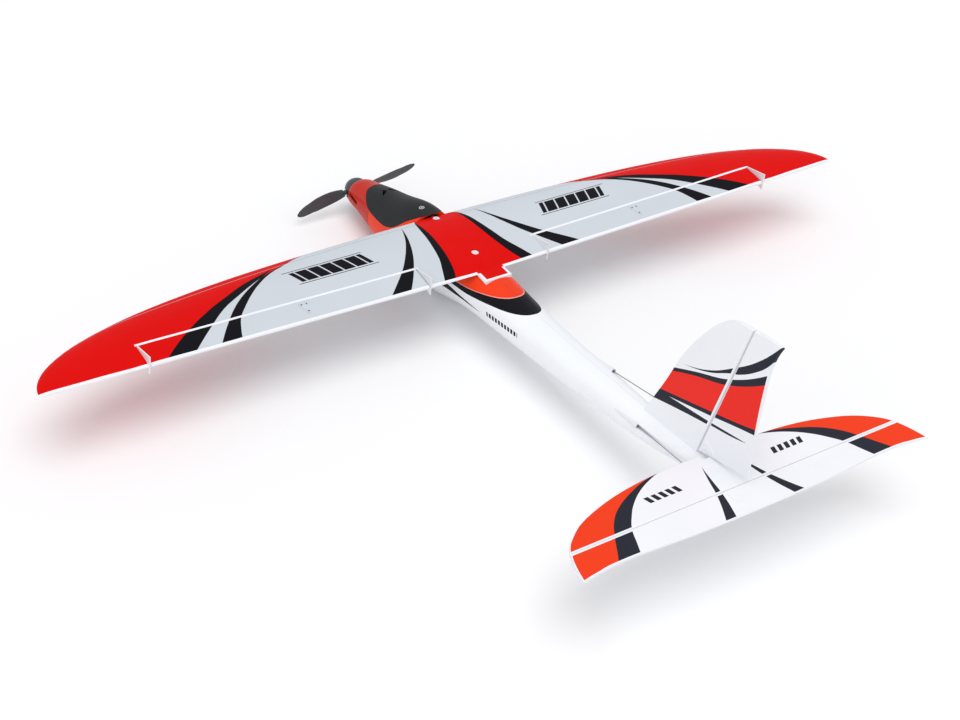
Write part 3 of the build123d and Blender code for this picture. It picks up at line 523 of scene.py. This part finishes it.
def finishes():
    """Each CAD node's finish, by name."""
    wing = wing_finish("wing_film")
    fin = fin_finish("fin_film")
    tail = tailplane_finish("tailplane_film")
    body = body_finish("body_paint")
    nylon_white = simple("white_nylon", (0.78, 0.79, 0.82), 0.36)
    nylon_dark = simple("dark_nylon", (0.016, 0.016, 0.018), 0.42)
    prop = simple("propeller_nylon", (0.062, 0.066, 0.072), 0.4, speckle=1400.0, depth=0.02, coat=0.05)
    steel = simple("drawn_steel", (0.42, 0.43, 0.45), 0.3, metallic=1.0, stretch=(1, 0.05, 1))
    alloy = simple("turned_alloy", (0.72, 0.73, 0.75), 0.24, metallic=1.0, depth=0.01)
    nickel = simple("nickel", (0.75, 0.74, 0.72), 0.18, metallic=1.0, depth=0.01)
    case = simple("servo_case", (0.012, 0.02, 0.05), 0.34)
    ply = plywood_finish("birch_ply")
    table = {
        "wing": wing, "aileron_port": wing, "aileron_starboard": wing, "fin": fin, "rudder": fin,
        "horizontal_stabilizer": tail, "elevator": tail, "fuselage_port_shell": body,
        "fuselage_starboard_shell": body, "nose_cowl": cowl_finish("cowl_paint"),
        "canopy_hatch": hatch_finish("hatch_paint"), "belly_skid": nylon_white,
        "battery": battery_finish("battery_wrap"), "battery_strap": strap_finish("strap_weave"),
        "motor_stator": windings_finish("stator"), "motor_bell": alloy, "propeller_hub": alloy,
        "spinner": prop, "blade_port": prop, "blade_starboard": prop, "spinner_screw": steel,
        "blade_pins": steel, "motor_bulkhead_screws": steel, "motor_bulkhead": ply, "hatch_former": ply,
        "equipment_tray": ply, "servo_rails": ply, "wing_screw_blocks": ply,
        "fuselage_magnet": nickel, "hatch_magnet": nickel, "wing_spar_tubes": carbon_finish("carbon_tube"),
        "wing_screws": nylon_white, "aileron_gap_fences": nylon_white, "pushrod_sleeves": nylon_white,
        "speed_controller": simple("shrink_sleeve", (0.03, 0.03, 0.035), 0.3, coat=0.4),
        "receiver": simple("receiver_case", (0.03, 0.03, 0.032), 0.4),
    }
    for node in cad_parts:
        if node in table:
            continue
        if "back_plate" in node:
            table[node] = {"aileron": wing, "elevator": tail, "rudder": fin}[node.split("_")[0]]
        elif "horn" in node:
            table[node] = nylon_white
        elif "clevis" in node or "servo_arm" in node:
            table[node] = nylon_dark
        elif "pushrod" in node:
            table[node] = steel
        else:
            table[node] = case
    return table


FINISH = finishes()
for node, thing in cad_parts.items():
    thing.data.materials.clear()
    thing.data.materials.append(FINISH[node])


# ---------------------------------------------------------------- new pieces
def piece(name, points, faces, material, body):
    """A smooth mesh from points at the drawn stations, in mm, riding on one body."""
    mesh = bpy.data.meshes.new(name)
    mesh.from_pydata([(x * MM, (y + MID_LENGTH_SHIFT) * MM, z * MM) for x, y, z in points], [], faces)
    mesh.materials.append(material)
    for polygon in mesh.polygons:
        polygon.use_smooth = True
    thing = bpy.data.objects.new(name, mesh)
    bpy.context.scene.collection.objects.link(thing)
    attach(thing, body)
    return thing


def closed_bar(name, rings, material, body):
    """A closed bar through rings of equal count: quads between them and a face on each end."""
    count = len(rings[0])
    points = [p for ring in rings for p in ring]
    faces = []
    for i in range(len(rings) - 1):
        for j in range(count):
            k = (j + 1) % count
            faces.append((i * count + j, i * count + k, (i + 1) * count + k, (i + 1) * count + j))
    faces.append(tuple(reversed(range(count))))
    faces.append(tuple(range((len(rings) - 1) * count, len(rings) * count)))
    made = piece(name, points, faces, material, body)
    made.data.validate()
    return made


def wing_top(x, y):
    """Height of the wing's upper surface."""
    t = min(abs(x) / HALF_SPAN, 1.0)
    chord = max((ROOT_CHORD - CHORD_TAPER * t) * sqrt(1 - t ** 4), 5.0)
    s = min(max(1 - (WING_TE - TE_SWEEP * t - y) / chord, 0.0), 1.0)
    shape = 2.969 * sqrt(s) - 1.26 * s - 3.516 * s ** 2 + 2.843 * s ** 3 - 1.036 * s ** 4
    half = 0.5 * THICKNESS * chord * shape + s * min(chord / 30, 1)
    camber = CAMBER * chord * (1 - ((s - 0.4) / (0.4 if s < 0.4 else 0.6)) ** 2)
    return WING_Z + DIHEDRAL * abs(x) + camber + half


# across a hinge: distance from its line and height over the surface, round a shallow groove
GROOVE = [(-1.25, -0.5), (-1.25, 0.10), (-0.95, 0.22), (-0.45, 0.02), (0.0, -0.04), (0.45, 0.02),
          (0.95, 0.22), (1.25, 0.10), (1.25, -0.5)]


def hinge_strips(material):
    """The pressed grooves of bare foam along each aileron hinge."""
    steps = 48
    for side, word in ((1, "port"), (-1, "starboard")):
        rings = []
        for i in range(steps + 1):
            x = HINGE_IN_X + 0.5 + (HINGE_LENGTH - 1.0) * i / steps
            y = HINGE_IN_Y - (x - HINGE_IN_X) * (HINGE_SWEEP / HINGE_LENGTH)
            rings.append([(side * x, y + a, wing_top(x, y + a) + h) for a, h in GROOVE])
        closed_bar(f"aileron_hinge_strip_{word}", rings, material, "airframe")


# ---------------------------------------------------------------- studio
CAMERA_PLACE = (1.13939, 1.28019, 1.26711)
CAMERA_AZIMUTH = 140.105
CAMERA_ELEVATION = 36.422
CAMERA_ROLL = 8.055
LENS = 69.70
FLOOR_REACH = 12.0
SKY_STRENGTH = 0.65


def camera():
    """The viewing angle: where the lens stands, and how far it is turned about its own axis."""
    azimuth, elevation, roll = radians(CAMERA_AZIMUTH), radians(CAMERA_ELEVATION), radians(CAMERA_ROLL)
    back = Vector((sin(azimuth) * cos(elevation), -cos(azimuth) * cos(elevation), sin(elevation)))
    right = (-back).cross(Vector((0, 0, 1))).normalized()
    up = right.cross(-back)
    across = right * cos(roll) + up * sin(roll)
    upward = up * cos(roll) - right * sin(roll)
    turned = Matrix((across, upward, back)).transposed().to_4x4()
    data = bpy.data.cameras.new("camera")
    data.lens = LENS
    data.clip_start = 0.05
    data.clip_end = 50.0
    holder = bpy.data.objects.new("camera", data)
    holder.matrix_world = Matrix.Translation(CAMERA_PLACE) @ turned
    bpy.context.scene.collection.objects.link(holder)
    bpy.context.scene.camera = holder


def soft_sun(name, place, spread, strength):
    """Daylight from a wide patch of sky, from one direction."""
    data = bpy.data.lights.new(name, "SUN")
    data.angle = radians(spread)
    data.energy = strength
    holder = bpy.data.objects.new(name, data)
    holder.rotation_euler = (-Vector(place)).to_track_quat("-Z", "Y").to_euler()
    bpy.context.scene.collection.objects.link(holder)


def studio():
    mesh = bpy.data.meshes.new("floor")
    corners = [(i * FLOOR_REACH, j * FLOOR_REACH, 0) for i, j in ((-1, -1), (1, -1), (1, 1), (-1, 1))]
    mesh.from_pydata(corners, [], [(0, 1, 2, 3)])
    floor = bpy.data.objects.new("floor", mesh)
    bpy.context.scene.collection.objects.link(floor)
    paint = Paint("floor_paint", 0.9)
    paint.colour(FLOOR, shade=paint.noise(2.0) * 0.01 + 0.995)
    mesh.materials.append(paint.material)
    world = bpy.data.worlds.new("studio")
    world.use_nodes = True
    world.node_tree.nodes["Background"].inputs[0].default_value = SKY
    world.node_tree.nodes["Background"].inputs[1].default_value = SKY_STRENGTH
    bpy.context.scene.world = world
    soft_sun("overhead", (0.3, 0.5, 3.0), 50.0, 1.25)
    soft_sun("side", (3.2, 2.2, 1.7), 50.0, 0.5)
    bpy.context.scene.view_settings.view_transform = "Standard"


hinge_strips(simple("bare_foam", FOAM_WHITE, 0.55, speckle=420.0, depth=0.06))
camera()
studio()
